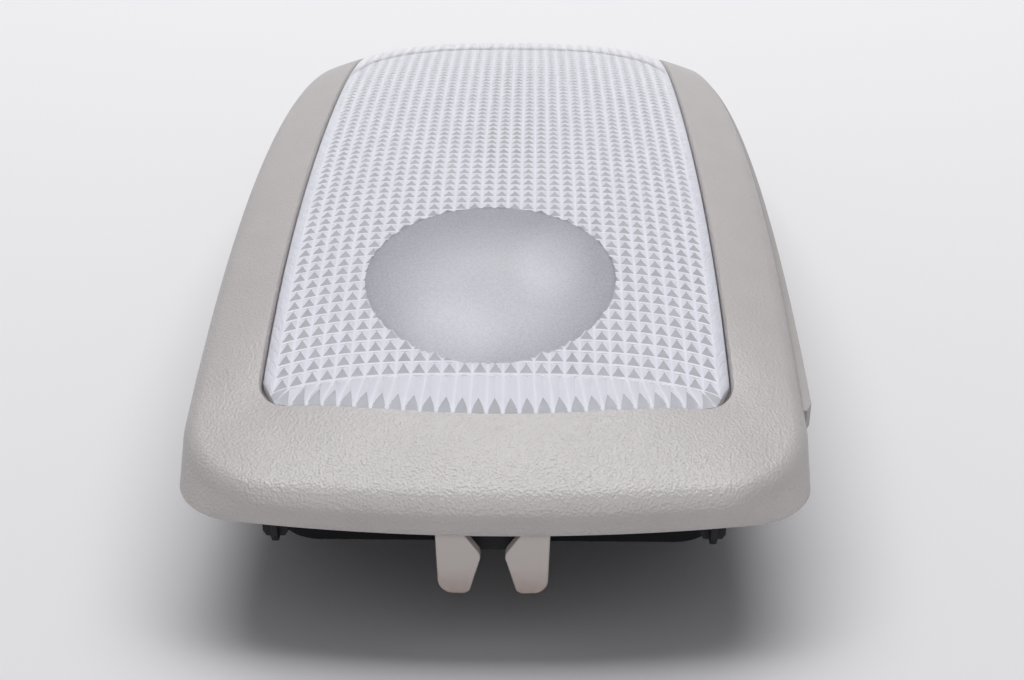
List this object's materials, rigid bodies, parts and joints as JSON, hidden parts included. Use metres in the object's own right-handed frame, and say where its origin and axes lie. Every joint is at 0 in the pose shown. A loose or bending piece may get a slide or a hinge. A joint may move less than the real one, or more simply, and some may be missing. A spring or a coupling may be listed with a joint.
{
  "type": "car dome light",
  "caption": "Long crowned car dome light with a prismatic lens, a frosted reading spot, a grained bezel, a side switch bar, snap prongs and locating pins.",
  "frame": {"origin": "under the middle of the lamp, on the plane of the back of its housing", "axes": "+X across the lamp towards the switch bar, +Y along the lamp from the frosted disc to the connector, +Z out of the lens"},
  "size_m": [0.1055, 0.2368, 0.0491],
  "materials": {
    "grained_grey_plastic": "fine leather grain",
    "smooth_grey_plastic": "satin",
    "clear_lens_plastic": "clear, with small pyramid recesses inside",
    "dark_plastic": "satin",
    "white_plastic": "satin",
    "bright_plastic": "metallised",
    "bulb_glass": "clear",
    "plated_steel": "bright plated",
    "brass": "plain stamped"
  },
  "bodies": {
    "lamp": {"bezel": "grained_grey_plastic", "lens": "clear_lens_plastic", "back_housing": "dark_plastic", "wedge_bulb_holder": "dark_plastic", "main_reflector": "white_plastic", "spot_reflector": "bright_plastic", "festoon_glass": "bulb_glass", "wedge_bulb_glass": "bulb_glass", "festoon_caps": "plated_steel", "festoon_filament": "plated_steel", "wedge_bulb_filament": "plated_steel", "festoon_clip_supply": "brass", "festoon_clip_return": "brass", "busbar_supply": "brass", "busbar_ground": "brass", "strip_main_return": "brass", "strip_spot_return": "brass", "pivot_washer": "plated_steel", "detent_spring": "plated_steel", "housing_screws": "plated_steel"},
    "bar": {"switch_bar": "smooth_grey_plastic", "bar_contacts": "brass"}
  },
  "joints": [
    {"name": "bar_rock", "type": "hinge", "parent": "lamp", "child": "bar", "pos_m": [0.044, 0, 0.0355], "axis": [0, 0, 1], "range_deg": [-1.2, 1.2]}
  ]
}
